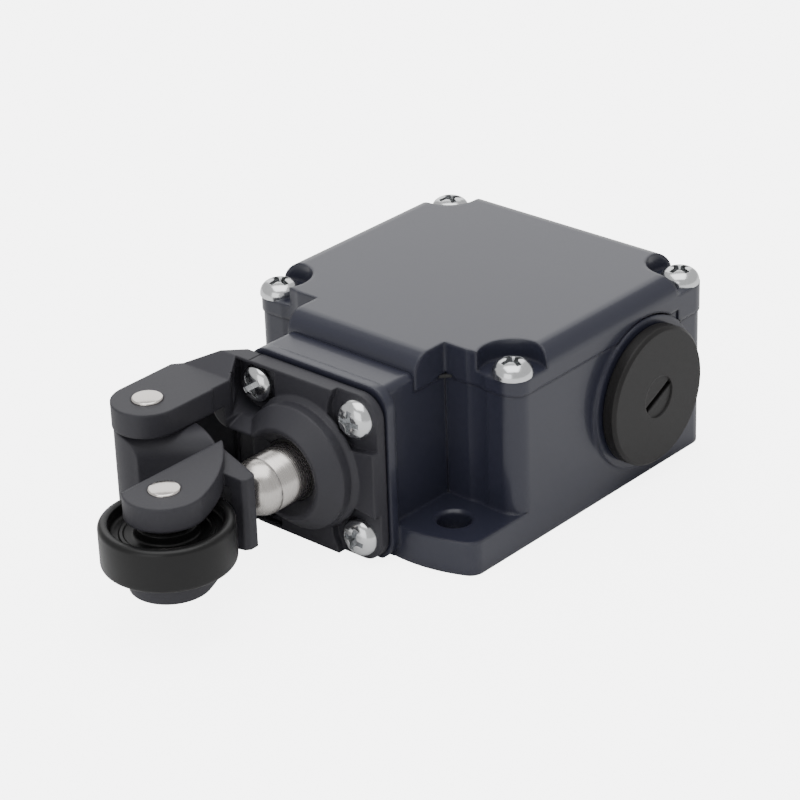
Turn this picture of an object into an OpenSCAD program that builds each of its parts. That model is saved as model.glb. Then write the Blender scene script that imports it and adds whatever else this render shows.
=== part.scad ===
// Metal-bodied position switch with a bent roller lever, lying on its back.
// +Z is the cover side, Z = 0 the mounting face, the lever is at -Y and the
// plugged cable entries face +X and -X. X = 0, Y = 0 is midway between the two
// fixing holes.

/* [Housing] */
// Width of the body across the two side faces
body_w = 56; // [50:0.5:64]
// Distance from the fixing-hole row to the rear face
body_back = 56.2; // [50:0.2:64]
// Distance from the fixing-hole row to the front of the corner lobes
lobe_front = 6.3; // [5:0.1:8]
// Height of the cover joint above the mounting face
joint_z = 26.9; // [24:0.1:30]
// Height of the outer rim behind the cable entries
low_joint_z = 24.6; // [22:0.1:26.9]
// Wall thickness of the casting
wall = 3.2; // [2.4:0.1:4]
// Thickness of the casting floor
floor_t = 3; // [2.4:0.1:4]
// Radius of the vertical outer corners
corner_r = 3; // [2:0.1:5]
// Thickness of the two fixing feet
foot_t = 5.9; // [4:0.1:8]
// Distance from the hole row to the front of a foot
foot_front = 7.2; // [6:0.1:9]
// Radius of the bowed front edge of the feet
foot_bow_r = 26; // [20:1:40]

// Radius of the outer corners of the feet
foot_corner_r = 2.5; // [1:0.1:4]

/* [Fixing holes] */
// Distance between the two fixing holes
hole_spacing = 40; // [38:0.5:44]
// Diameter of a fixing hole
hole_d = 5.5; // [5.2:0.1:6.5]
// Radius of the screwdriver hollow around a fixing hole
hollow_r = 6.6; // [6:0.1:8]

/* [Neck] */
// Width of the neck between the hollows
neck_w = 26.8; // [25:0.1:28]
// Height of the neck
neck_h = 30; // [28:0.1:31]
// Distance from the hole row to the front face of the neck
neck_front = 9; // [8:0.1:10]
// Width and height of the flange on the neck
flange_w = 29.4; // [28:0.1:31]
// Thickness of the flange on the neck
flange_t = 1.8; // [1.2:0.1:3]

/* [Cover] */
// Height of the cover above the mounting face
cover_top = 32.9; // [31:0.1:35]
// Overhang of the cover past the body
cover_lip = 0.25; // [0:0.05:0.5]
// Distance from the hole row to the front edge of the cover on the neck
cover_front = 1.2; // [0:0.1:3]
// Radius of the rounded top edges
cover_edge_r = 3.4; // [1.5:0.1:4]
// Spacing of the cover screws across the body
cover_screw_dx = 50; // [46:0.2:52]
// Distance from the hole row to the front cover screws
cover_screw_y0 = 9.1; // [8:0.1:11]
// Distance from the hole row to the rear cover screws
cover_screw_y1 = 52.9; // [48:0.1:56]
// Height of the cover screw seats
seat_z = 29.6; // [28:0.1:31]
// Radius of the pocket around a cover screw
seat_r = 5.6; // [4.5:0.1:7]
// Thickness of the cover gasket
gasket_t = 0.6; // [0.4:0.1:1]

/* [Cable entries] */
// Distance from the hole row to the side entries
entry_y = 39; // [36:0.5:42]
// Height of the entry axes
entry_z = 15.5; // [14:0.1:17]
// Core radius of the entry thread
entry_r = 9.55; // [9:0.05:11]
// Radius of the raised ring around an entry
entry_boss_r = 13.2; // [12:0.1:14]
// Height of the raised ring above the wall
entry_boss_h = 0.6; // [0.3:0.1:1.5]
// Threaded length of an entry
entry_len = 8; // [6:0.5:10]
// Radius of the plug flange
plug_r = 12; // [11:0.1:14]
// Thickness of the plug flange
plug_t = 2.3; // [1.6:0.1:4]
// Thickness of the plug washer
plug_washer_t = 0.4; // [0.2:0.1:1]
// Slope of the screwdriver slot in a plug
slot_angle = 25; // [0:1:90]

/* [Screws] */
// Radius of the large pan heads
screw_head_r = 3.35; // [3:0.05:3.6]
// Height of the large pan heads
screw_head_h = 2.6; // [2:0.1:3]
// Radius of the large screw shanks
screw_r = 1.7; // [1.5:0.05:2]
// Radius of the terminal screw heads
small_head_r = 2.7; // [2.4:0.05:3]
// Height of the terminal screw heads
small_head_h = 1.8; // [1.4:0.1:2.2]
// Radius of the terminal screw shanks
small_r = 1.4; // [1.2:0.05:1.6]

/* [Head] */
// Width and height of the head plate
head_w = 29; // [28:0.1:30]
// Thickness of the head plate
head_t = 3; // [2.4:0.1:4]
// Corner radius of the head plate
head_r = 4; // [3:0.1:6]
// Height of the plunger axis
axis_z = 15; // [14:0.1:16]
// Distance of the head screws from the plunger axis, along X and Z
head_screw_d = 10.4; // [9.5:0.1:11]
// Radius of the pocket around a head screw
head_pocket_r = 5.3; // [4.5:0.1:6]
// Depth of the pocket around a head screw
head_pocket_t = 1.4; // [0.8:0.1:2]
// Base radius of the guide nose
nose_r0 = 10.6; // [9.5:0.1:11.5]
// Front radius of the guide nose
nose_r1 = 7.8; // [7:0.1:9]
// Length of the guide nose in front of the plate
nose_l = 5.6; // [4:0.1:7]
// Thickness of the head gasket
head_gasket_t = 0.6; // [0.4:0.1:1]

/* [Bracket] */
// Outer spread of the two bracket arms
arm_span = 25; // [23:0.1:27]
// Thickness of a bracket arm
arm_t = 4.1; // [3:0.1:5]
// Radius of the rounded arm end
arm_r = 5.9; // [5:0.1:7]
// Distance of the lever pivot to the side of the plunger axis
pivot_x = 17.5; // [16:0.1:19]
// Distance from the hole row to the lever pivot
pivot_y = 29.4; // [27:0.1:31]

/* [Lever] */
// Height of the lever between the arms
lever_h = 16.4; // [15:0.1:16.6]
// Radius of the lever hub
hub_r = 5.7; // [5:0.1:5.9]
// Height of the contact wall
wall_h = 13.2; // [11:0.1:15]
// Inner radius of the hollow between hub and fork
hollow_r0 = 17.3; // [15:0.1:19]
// Radius of the rounded rims of that hollow
rim_round = 4; // [2:0.1:6]
// Angle of the contact face to the head at rest
face_tilt = 14; // [10:1:18]
// Distance of the contact face's free corner from the plunger axis
face_x = 5.2; // [4:0.1:7]
// Thickness of the fork plates
fork_t = 4; // [3:0.1:5]
// Radius of the fork plate around the roller pin
fork_r = 6.5; // [6:0.1:8]
// Radius of the bowed side of the fork plates
fork_bow_r = 32.5; // [24:0.5:40]
// Angle from +X at which the bow leaves the round end
fork_turn = 19; // [10:1:30]
// Flat side of the fork plates, measured from the roller axis
fork_flat = 4.4; // [3:0.1:5]
// Radius of the hollow that clears the roller
clear_r = 11.8; // [11.2:0.1:12.5]

/* [Roller] */
// Distance from the hole row to the roller pin
roller_y = 43.4; // [41:0.1:45]
// Radius of the roller
roller_r = 10.6; // [9:0.1:11]
// Width of the roller rim
roller_w = 7.2; // [6:0.1:8]
// Inner radius of the rim
rim_r = 8.9; // [8:0.1:9.4]
// Width of the roller between hub and rim
disc_w = 3; // [2:0.1:4]
// Width of the roller hub
roller_hub_w = 6.6; // [6:0.1:8]
// Distance the roller has slid down its pin
roller_drop = 0.5; // [0:0.1:0.9]
// Radius of the lever pin and the roller pin
pin_r = 2.55; // [2:0.05:3]
// Running clearance round pins
run_gap = 0.05; // [0.02:0.01:0.1]

/* [Plunger] */
// Radius of the plunger
plunger_r = 4.75; // [4:0.05:5.5]
// Radius of the plunger stem
stem_r = 2.4; // [2:0.1:3]
// Radius of the plunger collar
collar_r = 6.2; // [5.5:0.1:6.6]
// Radius of the spring chamber in the neck
chamber_r = 7.2; // [6.8:0.1:8]
// Outer radius of the guide bush
bush_r = 6.5; // [6:0.1:7]
// Wire radius of the return spring
wire_r = 0.45; // [0.3:0.05:0.6]

/* [Contact block] */
// Width of the contact base
base_w = 34; // [30:0.5:38]
// Width of the open channel in the contact base
channel_w = 21; // [18:0.5:24]
// Distance from the hole row to the front of the contact base
base_y0 = 9; // [8:0.5:12]
// Distance from the hole row to the rear of the contact base
base_y1 = 41; // [38:0.5:44]
// Height of the contact base
base_h = 14; // [12:0.5:16]
// Width of the contact slide
slide_w = 8; // [6:0.2:9]
// Thickness of the moving contacts
bridge_t = 0.8; // [0.5:0.1:1.2]
// Thickness of the fixed contacts
strip_t = 0.8; // [0.5:0.1:1.2]
// Distance from the hole row to the normally closed moving contact
nc_y = 17; // [15:0.1:19]
// Distance from the hole row to the normally open moving contact
no_y = 26.1; // [24:0.1:28]
// Opening of the normally open contact
contact_gap = 5.05; // [4:0.05:6]

/* [Hidden] */
$fn = 72;
eps = 0.01;
half_w = body_w / 2;
hole_x = hole_spacing / 2;
head_back = -neck_front - head_gasket_t;
head_face = head_back - head_t;
nose_face = head_face - nose_l;
arm_z1 = axis_z + arm_span / 2;
lever_z0 = axis_z - lever_h / 2;
lever_z1 = axis_z + lever_h / 2;
face_slope = tan(face_tilt);
hub_tangent = hub_r + 0.18;
touch_gap = 0.05;
face_y = -pivot_y + hub_tangent / cos(face_tilt) - (pivot_x + face_x) * face_slope;
ball_y = -pivot_y + (hub_tangent + touch_gap + plunger_r - pivot_x * sin(face_tilt))
         / cos(face_tilt);
collar_y = head_back + 0.05;
collar_t = 1.5;
stem_end = 7.9;
partition_y = 1;
partition_t = 2.5;
seat_y = partition_y;
spring_turns = 5;
base_z = floor_t + 0.1;
base_top = base_z + base_h;
slide_z = base_z + 5;
slide_h = 7;
bridge_z = slide_z + 1.7;
bridge_w = 3.6;
bridge_l = 18;
pad_y = 3;
nc_tab_y = nc_y - 0.05 - strip_t;
no_tab_y = no_y + bridge_t + contact_gap;
terminal_x = (base_w + channel_w) / 4;
post_r = 4.8;
screw_gap = 0.3;
ring_wall = 2.4;
ring_inset = 1.4;
earth_x = 14;
earth_y = 46.5;
earth_post_r = 3.6;
earth_post_h = 5;
low_rim_y = entry_y + 9.2;
low_rim_in = 1.5;
plug_disc_r = 3.6;
slot_l = 7.1;
slot_w = 1.1;
head_gap = 9.4;
crease_y = head_face - 4.2;
web_x = 14.7;
arm_wall_t = 1.3;
arm_pocket_r = 4.4;
web_end = -fork_flat + 0.9;

// ---------- shared shapes ----------

// Flat rectangle from x0 to x1 and y0 to y1 with rounded corners.
module rounded(x0, x1, y0, y1, r) {
    translate([x0 + r, y0]) square([x1 - x0 - 2 * r, y1 - y0]);
    translate([x0, y0 + r]) square([x1 - x0, y1 - y0 - 2 * r]);
    for (x = [x0 + r, x1 - r], y = [y0 + r, y1 - r])
        translate([x, y]) circle(r);
}

// Plan shape of body and cover, grown outwards by g, with the neck tongue to y0.
module plan(g, y0) {
    difference() {
        union() {
            rounded(-half_w - g, half_w + g, lobe_front - g, body_back + g, corner_r + g);
            translate([-neck_w / 2 - g, y0]) square([neck_w + 2 * g, body_back / 2]);
        }
        for (s = [-1, 1])
            translate([s * hole_x, 0]) circle(hollow_r - g);
    }
}

// Plan shape of the cavity, grown outwards by g.
module cavity(g) {
    difference() {
        rounded(-half_w + wall - g, half_w - wall + g,
                partition_y + partition_t - g, body_back - wall + g, 2 + g);
        for (s = [-1, 1])
            translate([s * hole_x, 0]) circle(hollow_r + 2.7 - g);
        at_cover_screws() circle(post_r - g);
    }
}

module at_cover_screws() {
    for (x = [-cover_screw_dx / 2, cover_screw_dx / 2], y = [cover_screw_y0, cover_screw_y1])
        translate([x, y]) children();
}

module at_head_screws() {
    for (x = [-head_screw_d, head_screw_d], z = [axis_z - head_screw_d, axis_z + head_screw_d])
        translate([x, 0, z]) children();
}

// The four terminals, at the height of the top of the contact base.
module at_terminals() {
    for (s = [-1, 1], y = [nc_tab_y, no_tab_y])
        translate([s * terminal_x, y + pad_y, base_top]) children();
}

// Round bar along +Y from y0 to y1 on the axis x, z.
module bar_y(x, z, r, y0, y1) {
    translate([x, y1, z]) rotate([90, 0, 0]) cylinder(r = r, h = y1 - y0);
}

// Pan head with a cross recess, seated on z = 0, shank pointing down.
module pan_screw(head_radius, head_height, shank_radius, shank_length) {
    dome = head_radius * 1.3;
    difference() {
        union() {
            intersection() {
                cylinder(r = head_radius, h = head_height);
                translate([0, 0, head_height - dome]) sphere(dome);
            }
            translate([0, 0, -shank_length]) cylinder(r = shank_radius, h = shank_length + eps);
        }
        for (a = [0, 90]) rotate([0, 0, a + 20])
            translate([-head_radius * 0.55, -head_radius * 0.13, head_height * 0.45])
                cube([head_radius * 1.1, head_radius * 0.26, head_height]);
    }
}

// Pin on the axis x, y from z0 to z1 with chamfered ends.
module pin(x, y, z0, z1) {
    chamfer = 0.35;
    translate([x, y, z0]) {
        cylinder(r1 = pin_r - chamfer, r2 = pin_r, h = chamfer);
        translate([0, 0, chamfer]) cylinder(r = pin_r, h = z1 - z0 - 2 * chamfer);
        translate([0, 0, z1 - z0 - chamfer]) cylinder(r1 = pin_r, r2 = pin_r - chamfer, h = chamfer);
    }
}

// ---------- body ----------

// Raised ring round an entry, clear of the gasket where it rises past the joint.
module entry_ring() {
    translate([0, 0, ring_inset]) cylinder(r = entry_boss_r, h = wall + entry_boss_h - ring_inset);
}

// Places a child whose +Z is an entry axis, its z = 0 on the inner wall face.
module at_side_entries() {
    for (s = [-1, 1])
        translate([s * (half_w - wall), entry_y, entry_z]) rotate([0, s * 90, 0]) children();
}

module at_rear_entry() {
    translate([0, body_back - wall, entry_z]) rotate([-90, 0, 0]) children();
}

// Both feet in plan, with a bowed front edge and rounded outer corners.
module foot_plan() {
    bow_x = hole_x - 4;
    bow_y = foot_bow_r - foot_front;
    corner_x = half_w - foot_corner_r;
    lean = (corner_x - bow_x) / (foot_bow_r - foot_corner_r);
    drop = sqrt(1 - lean * lean);
    corner_y = bow_y - drop * (foot_bow_r - foot_corner_r);
    far = 2 * foot_corner_r;
    intersection() {
        translate([-half_w, -foot_front]) square([body_w, 20]);
        union() {
            translate([-half_w, 0]) square([body_w, 20]);
            for (s = [-1, 1]) mirror([s < 0 ? 1 : 0, 0]) difference() {
                translate([bow_x, bow_y]) circle(foot_bow_r);
                translate([corner_x, corner_y]) difference() {
                    polygon([[0, 0], [far * lean, -far * drop], [far, -far], [far, 0]]);
                    circle(foot_corner_r);
                }
            }
        }
    }
}

module neck_block() {
    translate([0, 4, 0]) rotate([90, 0, 0])
        linear_extrude(4 + neck_front) rounded(-neck_w / 2, neck_w / 2, 0, neck_h, 1.4);
    translate([0, -neck_front + flange_t, 0]) rotate([90, 0, 0])
        linear_extrude(flange_t)
            rounded(-flange_w / 2, flange_w / 2, 0, neck_h + 0.2, 3.6);
    translate([-neck_w / 2, -neck_front + flange_t, 0])
        cube([neck_w, 4 + neck_front - flange_t, 4]);
}

module housing() color([0.16, 0.17, 0.21]) {
    difference() {
        union() {
            linear_extrude(joint_z) plan(0, -neck_front + flange_t);
            linear_extrude(foot_t) foot_plan();
            difference() {
                neck_block();
                translate([-half_w, -cover_front, joint_z]) cube([body_w, 20, 10]);
            }
            at_side_entries() entry_ring();
            at_rear_entry() entry_ring();
        }
        translate([0, 0, floor_t]) linear_extrude(40) cavity(0);
        // lowered outer rim behind the side entries
        translate([0, 0, low_joint_z]) linear_extrude(20) difference() {
            translate([-half_w - 2, low_rim_y]) square([body_w + 4, 20]);
            rounded(-half_w + low_rim_in, half_w - low_rim_in, 0, body_back - low_rim_in,
                    corner_r - low_rim_in);
            translate([0, body_back]) square([2 * entry_boss_r, 8], center = true);
        }
        for (s = [-1, 1])
            translate([s * hole_x, 0, -1]) {
                cylinder(d = hole_d, h = foot_t + 2);
                translate([0, 0, foot_t + 0.6]) cylinder(d1 = hole_d, d2 = hole_d + 1.2, h = 0.6);
            }
        at_cover_screws() translate([0, 0, 14]) cylinder(r = screw_r + run_gap, h = 20);
        bar_y(0, axis_z, chamber_r, -neck_front - 1, partition_y);
        bar_y(0, axis_z, stem_r + run_gap, 0, 10);
        at_head_screws() bar_y(0, 0, screw_r + run_gap, -neck_front - 1, -neck_front + 8);
        entry_holes();
        at_block_screws() translate([0, 0, floor_t - 2]) cylinder(r = small_r + run_gap, h = 4);
    }
    difference() {
        union() {
            intersection() {
                union() {
                    at_side_entries() translate([0, 0, wall - entry_len])
                        cylinder(r = entry_r + ring_wall, h = entry_len);
                    at_rear_entry() translate([0, 0, wall - entry_len])
                        cylinder(r = entry_r + ring_wall, h = entry_len);
                }
                linear_extrude(joint_z) plan(0, 0);
            }
            translate([earth_x, earth_y, floor_t - eps]) cylinder(r = earth_post_r, h = earth_post_h);
        }
        entry_holes();
        translate([earth_x, earth_y, floor_t]) cylinder(r = screw_r + run_gap, h = 10);
    }
}

module entry_holes() {
    at_side_entries() translate([0, 0, -10]) cylinder(r = entry_r, h = 20);
    at_rear_entry() translate([0, 0, -10]) cylinder(r = entry_r, h = 20);
}

module at_block_screws() {
    for (s = [-1, 1])
        translate([s * terminal_x, (base_y0 + base_y1) / 2, 0]) children();
}

// ---------- cover ----------

// Cover plan extruded, with long edges rounded from side and front views.
module cover_shell() {
    intersection() {
        translate([0, 0, joint_z - 5]) linear_extrude(20) plan(cover_lip, -cover_front);
        translate([0, body_back + 10, 0]) rotate([90, 0, 0]) linear_extrude(body_back + 30)
            rounded(-half_w - cover_lip, half_w + cover_lip, 0, cover_top, cover_edge_r);
        rotate([90, 0, 90]) translate([0, 0, -half_w - 10]) linear_extrude(body_w + 20)
            rounded(-cover_front, body_back + cover_lip, 0, cover_top, cover_edge_r);
    }
}

module screw_pocket() {
    for (x = [-1, 1], y = [[cover_screw_y0, -1], [cover_screw_y1, 1]])
        translate([x * cover_screw_dx / 2, y[0], seat_z]) {
            cylinder(r = seat_r, h = 10);
            translate([x > 0 ? 0 : -10, y[1] > 0 ? -seat_r * 0.4 : -10, 0])
                cube([10, 10 + seat_r * 0.4, 10]);
            translate([x > 0 ? -seat_r * 0.4 : -10, y[1] > 0 ? 0 : -10, 0])
                cube([10 + seat_r * 0.4, 10, 10]);
        }
}

module cover() color([0.16, 0.17, 0.21]) difference() {
    cover_shell();
    difference() {
        translate([-half_w * 2, -20, joint_z - 10]) cube([body_w * 2, 100, 10.03]);
        // deep rim behind the side entries
        translate([0, 0, low_joint_z + 0.03]) linear_extrude(10) difference() {
            translate([-half_w * 2, low_rim_y + 0.1]) square([body_w * 2, 20]);
            rounded(-half_w + low_rim_in - 0.1, half_w - low_rim_in + 0.1, 0,
                    body_back - low_rim_in + 0.1, corner_r - low_rim_in + 0.1);
            translate([0, body_back]) square([2 * entry_boss_r + 0.3, 8], center = true);
        }
    }
    translate([0, 0, joint_z - 1]) linear_extrude(1 + gasket_t) cavity(1.5);
    translate([0, 0, joint_z - 1]) linear_extrude(1 + 3.2) difference() {
        rounded(-half_w + 6.5, half_w - 6.5, 5, body_back - 6.5, 3);
        for (s = [-1, 1]) translate([s * hole_x, 0]) circle(hollow_r + 6);
        at_cover_screws() circle(post_r + 2.5);
    }
    screw_pocket();
    at_cover_screws() translate([0, 0, 20]) cylinder(r = screw_r + screw_gap, h = 20);
    at_side_entries() translate([0, 0, 1.2]) cylinder(r = entry_boss_r + 0.25, h = 5);
    at_rear_entry() translate([0, 0, 1.2]) cylinder(r = entry_boss_r + 0.25, h = 5);
}

module cover_gasket() color([0.06, 0.06, 0.06])
    translate([0, 0, joint_z]) linear_extrude(gasket_t - 0.02) difference() {
        cavity(1.1);
        cavity(-0.1);
    }

module cover_screws() color([0.8, 0.8, 0.78])
    at_cover_screws() translate([0, 0, seat_z])
        pan_screw(screw_head_r, screw_head_h, screw_r, 15);

// ---------- entry plugs ----------

module entry_plug() {
    face = wall + entry_boss_h + plug_washer_t;
    difference() {
        union() {
            translate([0, 0, wall - entry_len + 0.5])
                cylinder(r = entry_r - run_gap, h = face - wall + entry_len - 0.5 + eps);
            translate([0, 0, face]) {
                cylinder(r = plug_r, h = plug_t - 0.5);
                translate([0, 0, plug_t - 0.5]) cylinder(r1 = plug_r, r2 = plug_r - 0.5, h = 0.5);
            }
        }
        translate([0, 0, -20]) cylinder(r = entry_r - 2, h = 20 + wall);
        translate([0, 0, face + plug_t - 0.25]) cylinder(r = plug_disc_r, h = 1);
        translate([0, 0, face + plug_t + 0.4]) rotate([0, 0, 90 + slot_angle])
            cube([slot_l, slot_w, 4], center = true);
    }
}

module entry_plugs() color([0.1, 0.1, 0.1]) at_side_entries() entry_plug();

module plug_washers() color([0.05, 0.05, 0.05]) at_side_entries()
    translate([0, 0, wall + entry_boss_h]) difference() {
        cylinder(r = plug_r - 1, h = plug_washer_t);
        translate([0, 0, -1]) cylinder(r = entry_r + 0.1, h = 3);
    }

// ---------- head ----------

module head_plate_shape(w) {
    rounded(-w / 2, w / 2, axis_z - w / 2, axis_z + w / 2, head_r);
}

// Plan of one bracket arm from its rounded end back to the plate.
module arm_plan() {
    translate([-pivot_x, -pivot_y]) circle(arm_r);
    polygon([[-pivot_x - arm_r, -pivot_y], [-pivot_x - arm_r, crease_y - 1.5],
             [-pivot_x - arm_r + 1.3, crease_y], [-head_w / 2, head_back],
             [-pivot_x + arm_r, head_back], [-pivot_x + arm_r, -pivot_y]]);
}

// Upper half of the bracket: an arm, its slope up to the plate's edge, and the
// web that stiffens it against the plate and the guide nose.
module half_bracket() {
    translate([0, 0, arm_z1 - arm_t]) linear_extrude(arm_t) arm_plan();
    intersection() {
        translate([-pivot_x - arm_r, 0, 0]) rotate([90, 0, 90]) linear_extrude(2 * arm_r + eps)
            polygon([[crease_y, arm_z1 - 1], [crease_y, arm_z1],
                     [head_face, axis_z + head_w / 2 - 0.05], [head_back, axis_z + head_w / 2 - 0.05],
                     [head_back, arm_z1 - 1]]);
        translate([0, 0, arm_z1 - 2]) linear_extrude(8) arm_plan();
    }
    intersection() {
        translate([-web_x, 0, 0]) rotate([90, 0, 90]) linear_extrude(web_x - 3)
            polygon([[head_face + eps, axis_z + head_gap / 2], [nose_face, axis_z + head_gap / 2],
                     [head_face - 0.6, axis_z + head_gap / 2 + 1.8],
                     [head_face + eps, axis_z + head_gap / 2 + 1.8]]);
        web_ends();
    }
    intersection() {
        translate([-web_x, nose_face, axis_z + head_gap / 2])
            cube([web_x - pivot_x + arm_r, nose_l + eps, arm_span / 2 - head_gap / 2 - 1]);
        web_ends();
    }
    translate([0, 0, axis_z + head_gap / 2 + 0.8])
        linear_extrude(arm_span / 2 - head_gap / 2 - 1.8)
            polygon([[-web_x + 2.5, crease_y], [-web_x, crease_y - 0.5],
                     [-head_w / 2 - 3.4, head_face - 0.9], [-head_w / 2 - 3.2, head_face],
                     [-head_w / 2, head_back], [-head_w / 2 + 1, head_back],
                     [-head_screw_d - 4.2, head_face]]);
}

// Outline of the web seen along the plunger, round at its free lower corner.
module web_ends() {
    r = 3.2;
    translate([0, 0, axis_z + head_gap / 2]) rotate([90, 0, 0]) translate([0, 0, 10])
        linear_extrude(20) {
            translate([-web_x + r, r]) circle(r);
            translate([-web_x, r]) square([web_x, 10]);
            translate([-web_x + r, 0]) square([web_x - r, 10]);
        }
}

module bracket() difference() {
    union() {
        for (m = [0, 1]) translate([0, 0, m * 2 * axis_z]) mirror([0, 0, m]) half_bracket();
        // slanted wall that joins the two arms at their outer edges
        translate([0, 0, axis_z - arm_span / 2 + 1]) linear_extrude(arm_span - 2)
            polygon([[-pivot_x - arm_r + 1.3, crease_y], [-head_w / 2, head_back],
                     [-head_w / 2 + arm_wall_t, head_back - arm_wall_t],
                     [-pivot_x - arm_r + 1.3 + arm_wall_t, crease_y - arm_wall_t]]);
    }
    translate([-pivot_x, -pivot_y, -5]) cylinder(r = pin_r + run_gap, h = 50);
}

// Recess of the upper screw on the side away from the bracket: open to the
// plate's top edge and to its corner.
module corner_pocket() {
    x = head_screw_d;
    z = axis_z + head_screw_d;
    translate([0, head_face + head_pocket_t, 0]) rotate([90, 0, 0]) linear_extrude(6) {
        translate([x, z]) circle(head_pocket_r);
        polygon([[x - head_pocket_r, z], [x - head_pocket_r + 1.9, z + 6], [x + 8, z + 6],
                 [x + 8, z - head_pocket_r + 1], [x, z - head_pocket_r]]);
    }
}

// Recess of the upper screw beside the bracket arm, round below the screw.
module arm_pocket() {
    x = -head_screw_d;
    z = axis_z + head_screw_d;
    intersection() {
        union() {
            bar_y(x, z, arm_pocket_r, head_face - 1, head_face + head_pocket_t);
            translate([0, 0, z]) linear_extrude(20) arm_pocket_plan(x);
            intersection() {
                translate([0, 0, z - 6]) linear_extrude(7) arm_pocket_plan(x);
                bar_y(x, z, arm_pocket_r + 0.1, nose_face - 4, head_face + head_pocket_t);
            }
        }
        // the plate keeps its top edge above the recess
        union() {
            translate([-half_w, nose_face - 10, 0]) cube([body_w, 10 + nose_l, 50]);
            translate([-half_w, nose_face, 0]) cube([body_w, 20, z + screw_head_r + 0.2]);
        }
    }
}

// Plan of that recess on the screw axis x, narrower towards the arm's end.
module arm_pocket_plan(x) {
    polygon([[-pivot_x + arm_r - 0.2, crease_y], [-pivot_x + arm_r - 0.2, crease_y - 4],
             [x + 9, crease_y - 4], [x + 4.4, head_face], [x + 4.4, head_face + head_pocket_t],
             [x - 4.3, head_face + head_pocket_t], [x - 3.9, head_face]]);
}

module head() color([0.2, 0.2, 0.21]) difference() {
    union() {
        difference() {
            union() {
                translate([0, head_back, 0]) rotate([90, 0, 0]) linear_extrude(head_t)
                    head_plate_shape(head_w);
                bracket();
            }
            for (m = [0, 1]) translate([0, 0, m * 2 * axis_z]) mirror([0, 0, m]) {
                corner_pocket();
                arm_pocket();
            }
        }
        // guide nose
        translate([0, head_face + eps, axis_z]) rotate([90, 0, 0]) {
            cylinder(r1 = nose_r0 + 0.8, r2 = nose_r0, h = 0.8);
            cylinder(r = nose_r0, h = nose_l - 3);
            translate([0, 0, nose_l - 3]) cylinder(r1 = nose_r0, r2 = nose_r1, h = 3);
        }
    }
    at_head_screws() bar_y(0, 0, screw_r + screw_gap, head_face - 1, 0);
    at_head_screws() bar_y(0, 0, screw_head_r + 0.2, head_face - 3, head_face + head_pocket_t);
    bar_y(0, axis_z, bush_r + 0.01, nose_face + 3.2, 0);
    bar_y(0, axis_z, plunger_r + 0.5, nose_face - 1, 0);
    translate([0, nose_face + 2, axis_z]) rotate([90, 0, 0])
        cylinder(r1 = plunger_r + 0.5, r2 = nose_r1 - 0.6, h = 2.01);
    // slot beside the guide nose between the webs
    translate([-head_w / 2 - 1, nose_face - 1, axis_z - head_gap / 2])
        cube([head_w / 2 + 1 - nose_r0 + 1.6, nose_l + 1, head_gap]);
    translate([-nose_r0, nose_face - 1, axis_z - head_gap / 2])
        cube([nose_r0 - 4, 4, head_gap]);
}

module head_gasket() color([0.06, 0.06, 0.06]) difference() {
    translate([0, -neck_front, 0]) rotate([90, 0, 0]) linear_extrude(head_gasket_t - 0.02)
        head_plate_shape(head_w - 1);
    bar_y(0, axis_z, chamber_r, -20, 0);
    at_head_screws() bar_y(0, 0, screw_r + screw_gap, -20, 0);
}

module head_screws() color([0.8, 0.8, 0.78])
    at_head_screws() translate([0, head_face + head_pocket_t, 0]) rotate([90, 0, 0])
        pan_screw(screw_head_r, screw_head_h, screw_r, 8.5);

// ---------- plunger ----------

module plunger() color([0.7, 0.7, 0.68]) {
    translate([0, ball_y, axis_z]) sphere(plunger_r);
    bar_y(0, axis_z, plunger_r, ball_y, collar_y + eps);
    bar_y(0, axis_z, collar_r, collar_y, collar_y + collar_t);
    bar_y(0, axis_z, stem_r, collar_y, stem_end);
}

module guide_bush() color([0.72, 0.56, 0.3]) difference() {
    bar_y(0, axis_z, bush_r, nose_face + 3.25, head_back - 0.02);
    bar_y(0, axis_z, plunger_r + run_gap, -30, 0);
}

module wiper_seal() color([0.05, 0.05, 0.05]) difference() {
    bar_y(0, axis_z, plunger_r + 0.45, nose_face + 2.05, nose_face + 3.15);
    bar_y(0, axis_z, plunger_r + run_gap, -30, 0);
}

// Coil spring of rings joined by short risers, on the plunger axis.
module return_spring() color([0.62, 0.62, 0.62]) {
    y0 = collar_y + collar_t + wire_r + 0.05;
    y1 = seat_y - wire_r - 0.05;
    step = (y1 - y0) / (spring_turns - 1);
    r = (stem_r + chamber_r) / 2;
    for (i = [0 : spring_turns - 1])
        translate([0, y0 + i * step, axis_z]) rotate([90, 0, 0])
            rotate_extrude() translate([r, 0]) circle(wire_r);
    for (i = [0 : spring_turns - 2])
        translate([0, 0, axis_z]) rotate([0, i * 180, 0])
            bar_y(r, 0, wire_r * 0.9, y0 + i * step, y0 + (i + 1) * step);
}

// ---------- lever and roller ----------

// Points on the lever's back, which is tangent to the hub and meets the plunger.
function back_y(x) = face_y + (face_x - x) * face_slope;

// Web of the lever in plan, from the hub to the fork.
module web_plan() {
    polygon([[-pivot_x + hub_tangent * sin(face_tilt), -pivot_y + hub_tangent * cos(face_tilt)],
             [web_end, back_y(web_end)], [web_end, -roller_y + clear_r],
             [-9, -pivot_y - 4.6], [-pivot_x, -pivot_y - hub_r]]);
}

// Contact wall of the lever in plan: thin behind the web, thick at its free end.
module wall_plan() {
    thin = 1.8;
    polygon([[-pivot_x + 4, back_y(-pivot_x + 4)], [face_x - 0.5, back_y(face_x - 0.5)],
             [face_x, back_y(face_x) - 0.4], [face_x, back_y(face_x) - 1.9],
             [face_x - 0.7, back_y(face_x) - 2.6], [web_end, -roller_y + clear_r - 1],
             [web_end, back_y(web_end) - thin], [-pivot_x + 4, back_y(-pivot_x + 4) - thin]]);
}

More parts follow.
